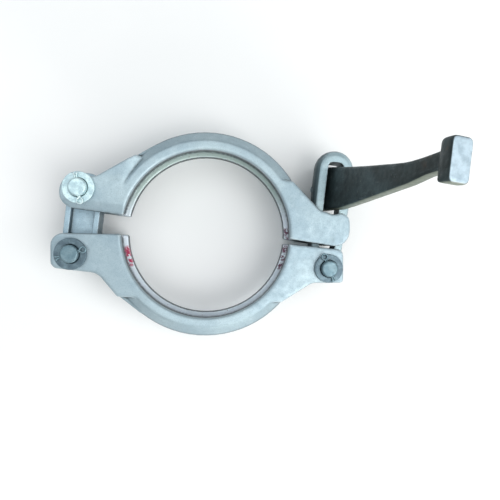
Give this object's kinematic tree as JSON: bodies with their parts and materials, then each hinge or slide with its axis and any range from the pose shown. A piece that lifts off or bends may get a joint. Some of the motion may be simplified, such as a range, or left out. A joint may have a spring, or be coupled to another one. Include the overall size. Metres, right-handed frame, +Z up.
{
  "type": "pipe clamp coupling",
  "caption": "Two-half forged pipe clamp with a hinge link and a wedge lock; it holds two collared pipe ends together in its groove.",
  "frame": {"origin": "middle of the underside of the whole coupling, on the plane that the pin ends stand on", "axes": "+Z up along the ring's axis, +X from the hinge side towards the wedge side, +Y towards the upper half"},
  "size_m": [0.28, 0.172, 0.2023],
  "materials": {
    "zinc_forging": "zinc-plated forging, satin, slightly mottled",
    "zinc_hardware": "bright zinc-plated hardware",
    "dark_steel": "worn dark forging steel with bare metal on the head"
  },
  "bodies": {
    "lower_half": {"lower_half": "zinc_forging", "lower_hinge_pin": "zinc_hardware", "lower_hinge_front_washer": "zinc_hardware", "lower_hinge_front_split_pin": "zinc_hardware", "lower_hinge_rear_washer": "zinc_hardware", "lower_hinge_rear_split_pin": "zinc_hardware", "tension_link_pin": "zinc_hardware", "tension_link_front_washer": "zinc_hardware", "tension_link_front_split_pin": "zinc_hardware", "tension_link_rear_washer": "zinc_hardware", "tension_link_rear_split_pin": "zinc_hardware"},
    "hinge_link": {"hinge_link": "zinc_forging"},
    "upper_half": {"upper_half": "zinc_forging", "upper_hinge_pin": "zinc_hardware", "upper_hinge_front_washer": "zinc_hardware", "upper_hinge_front_split_pin": "zinc_hardware", "upper_hinge_rear_washer": "zinc_hardware", "upper_hinge_rear_split_pin": "zinc_hardware"},
    "tension_link": {"tension_link": "zinc_forging"},
    "wedge": {"wedge": "dark_steel", "wedge_stop_pin": "zinc_hardware"}
  },
  "joints": [
    {"name": "tension_link_swing", "type": "hinge", "parent": "lower_half", "child": "tension_link", "pos_m": [0.0884, -0.0289, 0.0325], "axis": [0, 0, -1], "range_deg": [0, 150]},
    {"name": "wedge_slide", "type": "slide", "parent": "tension_link", "child": "wedge", "axis": [0.2064, -0.0246, 0.9781], "range_m": [-0.14, 0.006]},
    {"name": "hinge_link_swing", "type": "hinge", "parent": "lower_half", "child": "hinge_link", "pos_m": [-0.1234, -0.0162, 0.0325], "axis": [0, 0, 1], "range_deg": [0, 18]},
    {"name": "upper_half_swing", "type": "hinge", "parent": "hinge_link", "child": "upper_half", "pos_m": [-0.11679, 0.0375, 0.0325], "axis": [0, 0, 1], "range_deg": [-10, 0]}
  ],
  "couplings": [
    {"joint": "hinge_link_swing", "follows": "tension_link_swing", "ratio": 0.12},
    {"joint": "upper_half_swing", "follows": "tension_link_swing", "ratio": -0.0666}
  ]
}
